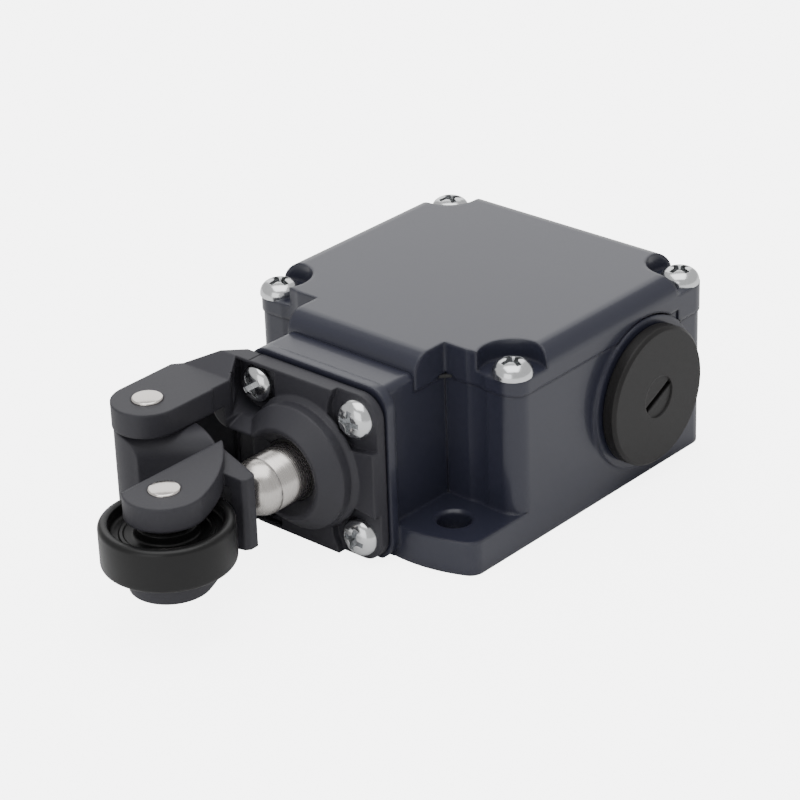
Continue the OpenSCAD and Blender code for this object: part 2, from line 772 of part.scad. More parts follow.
// Plan of a fork plate: round about the roller pin, bowed on the plunger side up
// to the tip, straight on the pivot side.
module fork_plan() {
    far = 40;
    intersection() {
        union() {
            translate([0, -roller_y]) circle(fork_r);
            intersection() {
                translate([(fork_r - fork_bow_r) * cos(fork_turn),
                           (fork_r - fork_bow_r) * sin(fork_turn) - roller_y]) circle(fork_bow_r);
                translate([0, -roller_y])
                    polygon([[0, 0], [far * cos(fork_turn), far * sin(fork_turn)], [far, far],
                             [-far, far], [-far, 0]]);
            }
        }
        polygon([[-fork_flat, -roller_y - far], [far, -roller_y - far], [far, back_y(far)],
                 [-fork_flat, back_y(-fork_flat)]]);
    }
}

// Contact wall, a little higher at the fork than at its free end.
module contact_wall() {
    h0 = wall_h / 2 + 0.4;
    h1 = wall_h / 2 - 0.5;
    h2 = 4.5;
    intersection() {
        translate([0, 0, lever_z0]) linear_extrude(lever_h) wall_plan();
        translate([0, 0, axis_z]) rotate([90, 0, 0]) linear_extrude(50)
            polygon([[-pivot_x, h2], [-8, h2], [-fork_flat, h0], [face_x + eps, h1],
                     [face_x + eps, -h1], [-fork_flat, -h0], [-8, -h2], [-pivot_x, -h2]]);
    }
}

// Round hollow between hub and fork, centred on the roller pin, whose upper
// and lower rims are rounded over.
module web_hollow() {
    half = lever_h / 2;
    rotate_extrude() difference() {
        translate([0, -half - 1]) square([hollow_r0 + rim_round, lever_h + 2]);
        translate([hollow_r0, -half + rim_round])
            square([rim_round + 1, lever_h - 2 * rim_round]);
        for (s = [-1, 1])
            translate([hollow_r0 + rim_round, s * (half - rim_round)]) circle(rim_round);
    }
}

module lever() color([0.2, 0.2, 0.21]) difference() {
    union() {
        difference() {
            union() {
                translate([-pivot_x, -pivot_y, lever_z0]) cylinder(r = hub_r, h = lever_h);
                translate([0, 0, lever_z0]) linear_extrude(lever_h) web_plan();
            }
            translate([0, -roller_y, axis_z]) web_hollow();
        }
        contact_wall();
        for (z = [lever_z0, lever_z1 - fork_t])
            translate([0, 0, z]) linear_extrude(fork_t) fork_plan();
    }
    translate([0, -roller_y, lever_z0 + fork_t])
        cylinder(r = clear_r, h = lever_h - 2 * fork_t);
    translate([-pivot_x, -pivot_y, -5]) cylinder(r = pin_r + run_gap, h = 50);
    translate([0, -roller_y, -5]) cylinder(r = pin_r + run_gap, h = 50);
}

module lever_pin() color([0.8, 0.78, 0.74])
    pin(-pivot_x, -pivot_y, arm_z1 - arm_span - 0.6, arm_z1 + 0.6);

module roller_pin() color([0.8, 0.78, 0.74])
    pin(0, -roller_y, lever_z0 - 0.5, lever_z1 + 0.5);

module roller() color([0.04, 0.04, 0.04])
    translate([0, -roller_y, axis_z - roller_drop]) rotate_extrude() difference() {
        rounded(0, roller_r, -roller_w / 2, roller_w / 2, 0.9);
        translate([-1, -20]) square([1 + pin_r + run_gap, 40]);
        translate([-1, roller_hub_w / 2]) square([1 + rim_r, 5]);
        translate([-1, -roller_hub_w / 2 - 5]) square([1 + rim_r, 5]);
        for (m = [0, 1]) mirror([0, m])
            rounded(pin_r + 2.4, rim_r, disc_w / 2, 8, 0.5);
    }

// ---------- contact block ----------

module contact_base() color([0.5, 0.1, 0.08]) difference() {
    translate([-base_w / 2, base_y0, base_z]) cube([base_w, base_y1 - base_y0, base_h]);
    translate([-channel_w / 2, base_y0 + 3, base_z + 4])
        cube([channel_w, base_y1 - base_y0 - 6, base_h]);
    translate([-slide_w / 2 - 0.1, base_y0 - 1, slide_z - 0.1])
        cube([slide_w + 0.2, 8, base_h]);
    at_terminals() translate([0, 0, -7]) cylinder(r = small_r + run_gap, h = 9);
    at_block_screws() translate([0, 0, -1]) cylinder(r = small_r + 0.2, h = 30);
}

// Window in the slide for a moving contact between y0 and y1.
module window(y0, y1) {
    translate([-slide_w, y0, bridge_z - 0.1]) cube([slide_w * 2, y1 - y0, bridge_w + 0.2]);
}

module contact_slide() color([0.85, 0.82, 0.74]) difference() {
    translate([-slide_w / 2, stem_end + 0.1, slide_z])
        cube([slide_w, no_y - stem_end + 4, slide_h]);
    window(nc_y - 0.1, nc_y + 4.4);
    window(no_y - 3.6, no_y + bridge_t + 0.1);
}

module bridge(y) {
    translate([-bridge_l / 2, y, bridge_z]) cube([bridge_l, bridge_t, bridge_w]);
}

module nc_bridge() color([0.8, 0.62, 0.3]) bridge(nc_y);

module no_bridge() color([0.8, 0.62, 0.3]) bridge(no_y);

// Contact springs, each a stack of rings joined by a riser.
module contact_spring(y0, y1) {
    turns = 4;
    r = 1.2;
    w = 0.22;
    step = (y1 - y0 - 2 * w) / (turns - 1);
    for (i = [0 : turns - 1])
        translate([0, y0 + w + i * step, bridge_z + bridge_w / 2]) rotate([90, 0, 0])
            rotate_extrude() translate([r, 0]) circle(w);
    bar_y(r, bridge_z + bridge_w / 2, w * 0.9, y0 + w, y1 - w);
}

module contact_springs() color([0.62, 0.62, 0.62]) {
    contact_spring(nc_y + bridge_t + 0.05, nc_y + 4.35);
    contact_spring(no_y - 3.55, no_y - 0.05);
}

// Fixed contact on side s whose tab stands at y, with its terminal pad.
module fixed_contact(s, y) {
    mirror([s < 0 ? 1 : 0, 0, 0]) difference() {
        union() {
            translate([5.2, y, bridge_z - 0.6])
                cube([3.8, strip_t, base_top + strip_t - bridge_z + 0.6]);
            translate([5.2, y, base_top])
                cube([base_w / 2 - 0.4 - 5.2, pad_y + 3, strip_t]);
        }
        translate([terminal_x, y + pad_y, base_top - 1]) cylinder(r = small_r + 0.2, h = 4);
    }
}

module fixed_contacts() color([0.8, 0.62, 0.3])
    for (s = [-1, 1]) {
        fixed_contact(s, nc_tab_y);
        fixed_contact(s, no_tab_y);
    }

module at_pads() {
    at_terminals() translate([0, 0, strip_t]) children();
}

module clamp_plates() color([0.78, 0.78, 0.76])
    at_pads() difference() {
        translate([-2.9, -2.9, 0.02]) cube([5.8, 5.8, 0.9]);
        translate([0, 0, -1]) cylinder(r = small_r + 0.15, h = 4);
    }

module terminal_screws() color([0.8, 0.8, 0.78])
    at_pads() translate([0, 0, 0.94]) pan_screw(small_head_r, small_head_h, small_r, 6);

module contact_lid() color([0.75, 0.75, 0.7])
    translate([-channel_w / 2 + 0.6, base_y0 + 1, base_top + strip_t + 0.02])
        cube([channel_w - 1.2, base_y1 - base_y0 - 2, 1.2]);

module block_screws() color([0.8, 0.8, 0.78])
    at_block_screws() translate([0, 0, base_top + 0.01])
        pan_screw(small_head_r, small_head_h, small_r, base_top - floor_t + 1.5);

module earth_screw() color([0.75, 0.6, 0.25])
    translate([earth_x, earth_y, floor_t + earth_post_h + 0.02])
        pan_screw(screw_head_r, screw_head_h, screw_r, earth_post_h - 0.5);

housing();
cover();
cover_gasket();
cover_screws();
entry_plugs();
plug_washers();
head();
head_gasket();
head_screws();
plunger();
guide_bush();
wiper_seal();
return_spring();
lever();
lever_pin();
roller();
roller_pin();
contact_base();
contact_slide();
nc_bridge();
no_bridge();
contact_springs();
fixed_contacts();
terminal_screws();
clamp_plates();
contact_lid();
block_screws();
earth_screw();
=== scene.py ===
"""Looks for a metal-bodied position switch with a bent roller lever.

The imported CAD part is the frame. The operators below give every part its finish and
model what needs more shape than the CAD carries: screws, pins, roller, plunger, return
spring and the thread of the open cable entry.
"""

import math

import bmesh
import bpy
from bpy.props import (
    FloatProperty,
    FloatVectorProperty,
    IntProperty,
    PointerProperty,
)
from mathutils import Matrix, Vector


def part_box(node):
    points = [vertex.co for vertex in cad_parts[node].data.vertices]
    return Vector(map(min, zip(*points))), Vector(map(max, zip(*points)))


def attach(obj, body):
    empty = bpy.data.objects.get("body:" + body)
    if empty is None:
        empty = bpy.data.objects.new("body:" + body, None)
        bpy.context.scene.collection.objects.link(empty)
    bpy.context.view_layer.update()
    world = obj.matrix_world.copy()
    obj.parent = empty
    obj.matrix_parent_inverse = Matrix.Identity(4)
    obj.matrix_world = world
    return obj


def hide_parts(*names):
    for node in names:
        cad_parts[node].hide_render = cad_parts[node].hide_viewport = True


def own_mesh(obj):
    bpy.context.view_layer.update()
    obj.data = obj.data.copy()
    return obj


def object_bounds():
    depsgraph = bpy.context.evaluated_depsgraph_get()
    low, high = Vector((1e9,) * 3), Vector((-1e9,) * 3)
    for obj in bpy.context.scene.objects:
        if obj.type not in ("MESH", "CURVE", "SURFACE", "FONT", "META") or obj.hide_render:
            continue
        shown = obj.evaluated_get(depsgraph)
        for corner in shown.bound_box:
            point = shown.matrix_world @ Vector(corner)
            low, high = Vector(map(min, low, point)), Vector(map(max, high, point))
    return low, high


bl_info = {
    "name": "Roller lever switch",
    "version": (1, 0, 0),
    "blender": (4, 5, 0),
    "location": "View3D > Sidebar > Switch",
    "description": "Builds the looks of a metal-bodied roller lever switch",
    "category": "Object",
}

MM = 0.001
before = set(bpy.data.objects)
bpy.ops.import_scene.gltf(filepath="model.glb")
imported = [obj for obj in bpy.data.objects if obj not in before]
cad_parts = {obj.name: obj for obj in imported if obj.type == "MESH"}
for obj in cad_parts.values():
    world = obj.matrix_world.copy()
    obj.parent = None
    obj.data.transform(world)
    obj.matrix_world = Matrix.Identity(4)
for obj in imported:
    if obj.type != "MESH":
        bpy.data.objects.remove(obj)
CAD_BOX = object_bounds()
# height of a pan head in the CAD, from its seat to its top
CAD_HEAD_HEIGHT = 2.6 * MM
# height of the cable entries' axes
ENTRY_HEIGHT = 15.5 * MM
# inputs of a Mix node in its colour mode, and its output
MIX_FACTOR, MIX_FIRST, MIX_SECOND, MIX_RESULT = 0, 6, 7, 2


def middle(node):
    """Centre of a CAD part's box."""
    low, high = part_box(node)
    return (Vector(low) + Vector(high)) / 2


# ---------- settings ----------


class FinishSettings(bpy.types.PropertyGroup):
    """Colours and surface values of the finishes."""

    case_colour: FloatVectorProperty(
        name="Case", description="Epoxy coat of housing and cover", subtype="COLOR",
        size=3, min=0, max=1, default=(0.024, 0.0255, 0.042),
    )
    head_colour: FloatVectorProperty(
        name="Head", description="Matt coat of head and lever", subtype="COLOR",
        size=3, min=0, max=1, default=(0.034, 0.0335, 0.041),
    )
    zinc_colour: FloatVectorProperty(
        name="Zinc", description="Plating of the screws", subtype="COLOR",
        size=3, min=0, max=1, default=(0.78, 0.79, 0.8),
    )
    nickel_colour: FloatVectorProperty(
        name="Nickel", description="Plating of the two pins", subtype="COLOR",
        size=3, min=0, max=1, default=(0.86, 0.81, 0.77),
    )
    steel_colour: FloatVectorProperty(
        name="Steel", description="Turned plunger", subtype="COLOR",
        size=3, min=0, max=1, default=(0.66, 0.63, 0.6),
    )
    roller_colour: FloatVectorProperty(
        name="Roller", description="Moulded roller", subtype="COLOR",
        size=3, min=0, max=1, default=(0.007, 0.007, 0.0072),
    )
    plug_colour: FloatVectorProperty(
        name="Plug", description="Moulded entry plugs", subtype="COLOR",
        size=3, min=0, max=1, default=(0.01, 0.0093, 0.0093),
    )
    edge_radius: FloatProperty(
        name="Edge radius", description="Rounding of the casting's edges",
        unit="LENGTH", min=0, max=0.002, precision=5, default=0.0006,
    )


class ScrewSettings(bpy.types.PropertyGroup):
    """Shape of the pan heads."""

    head_radius: FloatProperty(
        name="Head radius", description="Radius of a pan head", unit="LENGTH",
        min=0.001, max=0.01, precision=5, default=3.35 * MM,
    )
    head_height: FloatProperty(
        name="Head height", description="Height of a pan head", unit="LENGTH",
        min=0.0005, max=0.01, precision=5, default=2.5 * MM,
    )
    fullness: FloatProperty(
        name="Fullness", description="2 is a plain dome, more is squarer",
        min=2, max=6, default=2.45,
    )
    recess_length: FloatProperty(
        name="Recess length", description="Length of the cross recess", unit="LENGTH",
        min=0.001, max=0.006, precision=5, default=3.9 * MM,
    )
    recess_width: FloatProperty(
        name="Recess width", description="Width of one wing of the recess", unit="LENGTH",
        min=0.0002, max=0.002, precision=5, default=0.92 * MM,
    )
    recess_depth: FloatProperty(
        name="Recess depth", description="Depth of the recess", unit="LENGTH",
        min=0.0002, max=0.003, precision=5, default=2.1 * MM,
    )
    seed: IntProperty(
        name="Seed", description="How the heads happen to be turned", min=0, default=3,
    )


class TurnedSettings(bpy.types.PropertyGroup):
    """Small shapes of the turned and moulded round parts."""

    pin_crown: FloatProperty(
        name="Pin crown", description="Height of the crowned pin end", unit="LENGTH",
        min=0, max=0.001, precision=5, default=0.22 * MM,
    )
    rim_round: FloatProperty(
        name="Rim rounding", description="Rounding of the roller's outer edge",
        unit="LENGTH", min=0, max=0.002, precision=5, default=0.85 * MM,
    )
    thread_pitch: FloatProperty(
        name="Thread pitch", description="Pitch of the cable entry thread",
        unit="LENGTH", min=0.0005, max=0.003, precision=5, default=1.41 * MM,
    )
    spring_turns: IntProperty(
        name="Spring turns", description="Turns of the return spring",
        min=2, max=12, default=5,
    )


class StageSettings(bpy.types.PropertyGroup):
    """Floor, lights and camera."""

    floor_colour: FloatVectorProperty(
        name="Floor", description="Colour of the floor", subtype="COLOR",
        size=3, min=0, max=1, default=(0.9, 0.9, 0.9),
    )
    floor_glow: FloatProperty(
        name="Floor glow", description="How much brighter the floor looks than it is lit",
        min=0, default=5.0,
    )
    azimuth: FloatProperty(
        name="Azimuth", description="Camera direction round the part",
        subtype="ANGLE", default=math.radians(42.17),
    )
    elevation: FloatProperty(
        name="Elevation", description="Camera height angle",
        subtype="ANGLE", default=math.radians(26.71),
    )
    roll: FloatProperty(
        name="Roll", description="Tilt of the camera", subtype="ANGLE",
        default=math.radians(-2.08),
    )
    distance: FloatProperty(
        name="Distance", description="Camera distance", unit="LENGTH", min=0.1,
        default=0.4815,
    )
    lens: FloatProperty(
        name="Lens", description="Focal length in millimetres on a 36 mm sensor",
        min=20, max=300, default=132.3,
    )
    world_light: FloatProperty(
        name="Room light", description="Strength of the room", min=0, default=0.6,
    )
    key_power: FloatProperty(
        name="Key light", description="Power of the overhead softbox in watts",
        min=0, default=7.0,
    )
    back_power: FloatProperty(
        name="Back light", description="Power of the softbox behind in watts",
        min=0, default=4.5,
    )
    front_power: FloatProperty(
        name="Front light", description="Power of the softbox in front in watts",
        min=0, default=2.5,
    )


# ---------- node helpers ----------


def wire(tree, source, target):
    """Links an output socket to an input socket."""
    tree.links.new(source, target)


def node(tree, kind, **values):
    """Adds a node and sets its properties."""
    made = tree.nodes.new(kind)
    for name, value in values.items():
        setattr(made, name, value)
    return made


def math_node(tree, operation, first, second=None, clamp=False):
    """Adds a Math node fed by sockets or numbers and returns its output."""
    made = node(tree, "ShaderNodeMath", operation=operation, use_clamp=clamp)
    for socket, value in zip(made.inputs, (first, second)):
        if value is None:
            continue
        if isinstance(value, (int, float)):
            socket.default_value = value
        else:
            wire(tree, value, socket)
    return made.outputs[0]


def group_socket(tree, name, direction, kind, default=None):
    """Declares a socket on a node group."""
    socket = tree.interface.new_socket(name=name, in_out=direction, socket_type=kind)
    if default is not None:
        socket.default_value = default


# ---------- shared shader groups ----------


def soft_edge_group():
    """Rounds edges in the shading and gives a mask for lighter colour on the edges: painted
    highlight, broken into patches of rubbed wear.
    """
    name = "Soft edge"
    if name in bpy.data.node_groups:
        return bpy.data.node_groups[name]
    sheen_and_wear_gain, patch_scale = 3.0, 420
    tree = bpy.data.node_groups.new(name, "ShaderNodeTree")
    group_socket(tree, "Radius", "INPUT", "NodeSocketFloat", 0.5 * MM)
    group_socket(tree, "Vector", "INPUT", "NodeSocketVector")
    group_socket(tree, "Normal", "OUTPUT", "NodeSocketVector")
    group_socket(tree, "Sheen And Wear", "OUTPUT", "NodeSocketFloat")
    inlet = node(tree, "NodeGroupInput")
    outlet = node(tree, "NodeGroupOutput")
    bevel = node(tree, "ShaderNodeBevel", samples=6)
    wire(tree, inlet.outputs["Radius"], bevel.inputs["Radius"])
    geometry = node(tree, "ShaderNodeNewGeometry")
    dot = node(tree, "ShaderNodeVectorMath", operation="DOT_PRODUCT")
    wire(tree, bevel.outputs[0], dot.inputs[0])
    wire(tree, geometry.outputs["Normal"], dot.inputs[1])
    # edge mask where the rounded normal bends away: it paints a highlight on the edges, in patches
    # like rubbed wear
    bent = math_node(tree, "SUBTRACT", 1.0, dot.outputs["Value"])
    strong = math_node(tree, "MULTIPLY", bent, sheen_and_wear_gain, clamp=True)
    patches = node(tree, "ShaderNodeTexNoise")
    patches.inputs["Scale"].default_value = patch_scale
    patches.inputs["Detail"].default_value = 3
    wire(tree, inlet.outputs["Vector"], patches.inputs["Vector"])
    sheen_and_wear = math_node(tree, "MULTIPLY", strong, patches.outputs["Fac"])
    wire(tree, bevel.outputs[0], outlet.inputs["Normal"])
    wire(tree, sheen_and_wear, outlet.inputs["Sheen And Wear"])
    return tree


def skin_group():
    """Height of a coated or moulded skin: fine grain over a slow waviness."""
    name = "Skin"
    if name in bpy.data.node_groups:
        return bpy.data.node_groups[name]
    tree = bpy.data.node_groups.new(name, "ShaderNodeTree")
    group_socket(tree, "Vector", "INPUT", "NodeSocketVector")
    group_socket(tree, "Grain Scale", "INPUT", "NodeSocketFloat", 3000)
    group_socket(tree, "Grain Depth", "INPUT", "NodeSocketFloat", 0.01)
    group_socket(tree, "Wave Scale", "INPUT", "NodeSocketFloat", 120)
    group_socket(tree, "Wave Depth", "INPUT", "NodeSocketFloat", 0.02)
    group_socket(tree, "Height", "OUTPUT", "NodeSocketFloat")
    group_socket(tree, "Fleck", "OUTPUT", "NodeSocketFloat")
    inlet = node(tree, "NodeGroupInput")
    outlet = node(tree, "NodeGroupOutput")
    grain = node(tree, "ShaderNodeTexNoise")
    grain.inputs["Detail"].default_value = 3
    wave = node(tree, "ShaderNodeTexNoise")
    wave.inputs["Detail"].default_value = 1
    for texture, scale in ((grain, "Grain Scale"), (wave, "Wave Scale")):
        wire(tree, inlet.outputs["Vector"], texture.inputs["Vector"])
        wire(tree, inlet.outputs[scale], texture.inputs["Scale"])
    fine = math_node(tree, "MULTIPLY", grain.outputs["Fac"], inlet.outputs["Grain Depth"])
    slow = math_node(tree, "MULTIPLY", wave.outputs["Fac"], inlet.outputs["Wave Depth"])
    wire(tree, math_node(tree, "ADD", fine, slow), outlet.inputs["Height"])
    wire(tree, grain.outputs["Fac"], outlet.inputs["Fleck"])
    return tree


# ---------- materials ----------


def coated(name, colour, roughness, grain, wave, sheen_and_wear=0.35, radius=None, coat=0.0,
           metallic=0.0, spread=0.12, stretch=(1, 1, 1), specular=0.5, fleck=0.08):
    """A coated, plated or moulded finish with grain, waviness and softened edges.

    grain and wave are (scale, depth in millimetres); spread is how much the
    roughness varies, fleck how much the colour does, and sheen_and_wear how much
    lighter colour is painted on the edges, a painted highlight in patches of rubbed wear.
    """
    name = "finish_" + name
    if name in bpy.data.materials:
        return bpy.data.materials[name]
    settings = bpy.context.scene.switch_finish
    made = bpy.data.materials.new(name)
    made.use_nodes = True
    tree = made.node_tree
    shader = tree.nodes["Principled BSDF"]
    shader.inputs["Metallic"].default_value = metallic
    shader.inputs["Coat Roughness"].default_value = 0.06
    shader.inputs["Coat Weight"].default_value = coat
    shader.inputs["Specular IOR Level"].default_value = specular
    place = node(tree, "ShaderNodeTexCoord")
    turn = node(tree, "ShaderNodeMapping")
    turn.inputs["Scale"].default_value = stretch
    wire(tree, place.outputs["Object"], turn.inputs["Vector"])
    skin = node(tree, "ShaderNodeGroup", node_tree=skin_group())
    wire(tree, turn.outputs[0], skin.inputs["Vector"])
    skin.inputs["Grain Scale"].default_value = grain[0]
    skin.inputs["Grain Depth"].default_value = grain[1]
    skin.inputs["Wave Scale"].default_value = wave[0]
    skin.inputs["Wave Depth"].default_value = wave[1]
    edge = node(tree, "ShaderNodeGroup", node_tree=soft_edge_group())
    wire(tree, place.outputs["Object"], edge.inputs["Vector"])
    edge.inputs["Radius"].default_value = settings.edge_radius if radius is None else radius
    bump = node(tree, "ShaderNodeBump")
    bump.inputs["Strength"].default_value = 1.0
    bump.inputs["Distance"].default_value = MM
    wire(tree, skin.outputs["Height"], bump.inputs["Height"])
    wire(tree, edge.outputs["Normal"], bump.inputs["Normal"])
    wire(tree, bump.outputs[0], shader.inputs["Normal"])
    tint = node(tree, "ShaderNodeMix", data_type="RGBA")
    tint.inputs[MIX_FIRST].default_value = (*[c * (1 - fleck) for c in colour], 1)
    tint.inputs[MIX_SECOND].default_value = (*[min(1, c * (1 + fleck)) for c in colour], 1)
    wire(tree, skin.outputs["Fleck"], tint.inputs[MIX_FACTOR])
    # painted highlight: a lighter colour mixed in along the edges, in patches like rubbed wear
    gain, lift = 2.2, 0.03
    sheen_and_wear_mix = node(tree, "ShaderNodeMix", data_type="RGBA")
    sheen_and_wear_mix.inputs[MIX_SECOND].default_value = (*[min(1, c * gain + lift) for c in colour], 1)
    wire(tree, tint.outputs[MIX_RESULT], sheen_and_wear_mix.inputs[MIX_FIRST])
    edge_sheen_and_wear = math_node(tree, "MULTIPLY", edge.outputs["Sheen And Wear"], sheen_and_wear)
    wire(tree, edge_sheen_and_wear, sheen_and_wear_mix.inputs[MIX_FACTOR])
    wire(tree, sheen_and_wear_mix.outputs[MIX_RESULT], shader.inputs["Base Color"])
    vary = math_node(tree, "MULTIPLY", skin.outputs["Fleck"], spread)
    wire(tree, math_node(tree, "ADD", vary, roughness - spread / 2), shader.inputs["Roughness"])
    return made


def case_coat():
    """Glossy epoxy coat over a slightly wavy casting."""
    return coated("case_coat", bpy.context.scene.switch_finish.case_colour, 0.3,
                  (900, 0.0006), (70, 0.02), sheen_and_wear=0.3, coat=0.3, radius=0.9 * MM, fleck=0.03,
                  spread=0.04, specular=0.42)


def head_coat():
    """Matt coat of head and lever."""
    return coated("head_coat", bpy.context.scene.switch_finish.head_colour, 0.5,
                  (3200, 0.012), (260, 0.02), sheen_and_wear=0.3, specular=0.4)


def zinc_plate():
    """Bright zinc plating."""
    return coated("zinc_plate", bpy.context.scene.switch_finish.zinc_colour, 0.2,
                  (2600, 0.003), (600, 0.01), sheen_and_wear=0.0, metallic=1.0, radius=0.12 * MM)


def nickel_plate():
    """Polished nickel plating."""
    return coated("nickel_plate", bpy.context.scene.switch_finish.nickel_colour, 0.17,
                  (2400, 0.002), (500, 0.006), sheen_and_wear=0.0, metallic=1.0, radius=0.12 * MM)


def turned_steel():
    """Turned steel with fine rings round the plunger's axis."""
    return coated("turned_steel", bpy.context.scene.switch_finish.steel_colour, 0.27,
                  (900, 0.007), (420, 0.01), sheen_and_wear=0.0, metallic=1.0, radius=0.15 * MM,
                  stretch=(0.25, 5, 0.25), spread=0.2)


def roller_plastic():
    """Satin black moulded roller."""
    return coated("roller_plastic", bpy.context.scene.switch_finish.roller_colour, 0.34,
                  (1800, 0.003), (240, 0.012), sheen_and_wear=0.15, radius=0.2 * MM, specular=0.35)


def plug_plastic():
    """Finely grained black plug."""
    return coated("plug_plastic", bpy.context.scene.switch_finish.plug_colour, 0.45,
                  (3600, 0.014), (320, 0.01), sheen_and_wear=0.3, radius=0.35 * MM, specular=0.35)


def rubber():
    """Black seal rubber."""
    return coated("seal_rubber", (0.012, 0.012, 0.012), 0.6, (2500, 0.01), (300, 0.01),
                  sheen_and_wear=0.1, radius=0.1 * MM)


def bronze():
    """Porous sintered bronze."""
    return coated("sintered_bronze", (0.5, 0.34, 0.18), 0.42, (4200, 0.02), (500, 0.01),
                  sheen_and_wear=0.0, metallic=1.0, radius=0.1 * MM)


def brass():
    """Bare stamped brass."""
    return coated("stamped_brass", (0.72, 0.52, 0.24), 0.3, (2600, 0.004), (420, 0.008),
                  sheen_and_wear=0.0, metallic=1.0, radius=0.1 * MM)


def red_moulding():
    """Red-brown moulding compound of the contact block."""
    return coated("red_moulding", (0.22, 0.035, 0.025), 0.42, (2200, 0.008), (300, 0.01),
                  sheen_and_wear=0.3, radius=0.2 * MM)


def pale_moulding():
    """Natural moulded plastic of the contact slide and lid."""
    return coated("pale_moulding", (0.62, 0.6, 0.54), 0.4, (2200, 0.006), (300, 0.01),
                  sheen_and_wear=0.2, radius=0.2 * MM)


# ---------- mesh helpers ----------


def paint(name, material):
    """Gives a CAD part its material."""
    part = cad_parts[name]
    part.data.materials.clear()
    part.data.materials.append(material)


def make_object(name, mesh, material):
    """Links a finished mesh as an object at the origin."""
    made = bpy.data.objects.new(name, mesh)
    bpy.context.scene.collection.objects.link(made)
    mesh.materials.clear()
    mesh.materials.append(material)
    return made


def smooth_by_angle(mesh, angle=math.radians(35)):
    """Smooth shading with sharp edges where faces meet at more than the angle."""
    work = bmesh.new()
    work.from_mesh(mesh)
    for face in work.faces:
        face.smooth = True
    for edge in work.edges:
        edge.smooth = len(edge.link_faces) == 2 and edge.calc_face_angle(0) < angle
    work.to_mesh(mesh)
    work.free()


def lathe(name, profile, place, steps=96):
    """Closed solid turned from (radius, height) points about +Z, then placed."""
    work = bmesh.new()
    rings = []
    on_axis = 1e-7
    for radius, height in profile:
        if radius < on_axis:
            rings.append([work.verts.new((0, 0, height))])
            continue
        rings.append([
            work.verts.new((radius * math.cos(2 * math.pi * i / steps),
                            radius * math.sin(2 * math.pi * i / steps), height))
            for i in range(steps)
        ])
    for low, high in zip(rings, rings[1:] + rings[:1]):
        if len(low) == 1 and len(high) == 1:
            continue
        for i in range(steps):
            j = (i + 1) % steps
            corners = [low[i % len(low)], low[j % len(low)],
                       high[j % len(high)], high[i % len(high)]]
            # the centre point of a closed end stands in for two corners
            work.faces.new(list(dict.fromkeys(corners)))
    work.transform(place)
    bmesh.ops.recalc_face_normals(work, faces=work.faces)
    mesh = bpy.data.meshes.new(name)
    work.to_mesh(mesh)
    work.free()
    smooth_by_angle(mesh)
    return mesh


def arc(centre, radius, start, end, steps):
    """Profile points on an arc, angles in degrees from the radius axis."""
    return [
        (centre[0] + radius * math.cos(math.radians(start + (end - start) * i / steps)),
         centre[1] + radius * math.sin(math.radians(start + (end - start) * i / steps)))
        for i in range(steps + 1)
    ]


def towards_lever(x, z):
    """Placement that lays a +Z shape along -Y, on the axis x, z."""
    return Matrix.Translation((x, 0, z)) @ Matrix.Rotation(math.radians(90), 4, "X")


def as_plain_mesh(holder, name):
    """Evaluated mesh of an object with a Geometry Nodes modifier."""
    graph = bpy.context.evaluated_depsgraph_get()
    mesh = bpy.data.meshes.new_from_object(holder.evaluated_get(graph))
    mesh.name = name
    return mesh


def grow(name, seeds, tree, values, material):
    """Runs a Geometry Nodes tree on seed points and keeps the result as a mesh.

    seeds are (point, axis) pairs. The holder and its modifier are removed.
    """
    mesh = bpy.data.meshes.new(name + "_seeds")
    mesh.from_pydata([tuple(point) for point, axis in seeds], [], [])
    axes = mesh.attributes.new("axis", "FLOAT_VECTOR", "POINT")
    for item, (point, axis) in zip(axes.data, seeds):
        item.vector = axis
    holder = bpy.data.objects.new(name + "_holder", mesh)
    bpy.context.scene.collection.objects.link(holder)
    modifier = holder.modifiers.new("grow", "NODES")
    modifier.node_group = tree
    names = {item.name: item.identifier for item in tree.interface.items_tree
             if item.item_type == "SOCKET" and item.in_out == "INPUT"}
    for key, value in values.items():
        modifier[names[key]] = value
    modifier[names["Material"]] = material
    result = as_plain_mesh(holder, name)
    bpy.data.objects.remove(holder)
    if not result.polygons:
        raise RuntimeError(name + " came out empty")
    return make_object(name, result, material)


# ---------- Geometry Nodes trees ----------


def start_tree(name, inputs):
    """New Geometry Nodes tree with a geometry input, named inputs and an output."""
    tree = bpy.data.node_groups.new(name, "GeometryNodeTree")
    group_socket(tree, "Geometry", "INPUT", "NodeSocketGeometry")
    for label, kind, default in inputs:
        group_socket(tree, label, "INPUT", kind, default)
    group_socket(tree, "Material", "INPUT", "NodeSocketMaterial")
    group_socket(tree, "Geometry", "OUTPUT", "NodeSocketGeometry")
    return tree, node(tree, "NodeGroupInput"), node(tree, "NodeGroupOutput")


def close_tree(tree, inlet, outlet, geometry, crease=0.6):
    """Realizes instances, smooths all but creased edges and sets the material."""
    real = node(tree, "GeometryNodeRealizeInstances")
    wire(tree, geometry, real.inputs[0])
    smooth = node(tree, "GeometryNodeSetShadeSmooth", domain="FACE")
    wire(tree, real.outputs[0], smooth.inputs["Geometry"])
    angle = node(tree, "GeometryNodeInputMeshEdgeAngle")
    sharp = node(tree, "FunctionNodeCompare", data_type="FLOAT", operation="GREATER_THAN")
    wire(tree, angle.outputs["Unsigned Angle"], sharp.inputs[0])
    sharp.inputs[1].default_value = crease
    keep = node(tree, "GeometryNodeSetShadeSmooth", domain="EDGE")
    keep.inputs["Shade Smooth"].default_value = False
    wire(tree, smooth.outputs[0], keep.inputs["Geometry"])
    wire(tree, sharp.outputs[0], keep.inputs["Selection"])
    dress = node(tree, "GeometryNodeSetMaterial")
    wire(tree, keep.outputs[0], dress.inputs["Geometry"])
    wire(tree, inlet.outputs["Material"], dress.inputs["Material"])
    wire(tree, dress.outputs[0], outlet.inputs[0])


